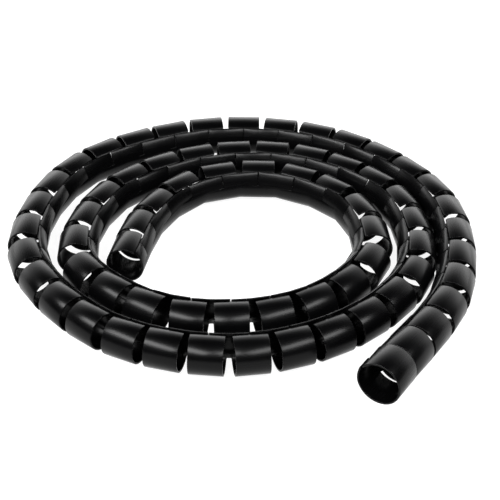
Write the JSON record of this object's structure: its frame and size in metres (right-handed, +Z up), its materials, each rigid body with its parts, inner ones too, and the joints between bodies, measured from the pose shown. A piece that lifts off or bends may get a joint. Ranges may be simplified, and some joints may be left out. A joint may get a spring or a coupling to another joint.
{
  "type": "spiral cable wrap",
  "caption": "Slit black plastic tube for bundling cables, cut into outer bands and inner fingers along an open seam, laid flat in a loose coil.",
  "frame": {"origin": "middle of the coil's box, on the floor that the tube lies on", "axes": "+Z up from the floor, +Y away from the open outer end, +X to the right as the coil is seen with its outer end at the front"},
  "size_m": [0.267, 0.2592, 0.0253],
  "materials": {
    "black_plastic": "satin"
  },
  "bodies": {
    "root": {"spiral_wrap": "black_plastic"}
  },
  "joints": []
}
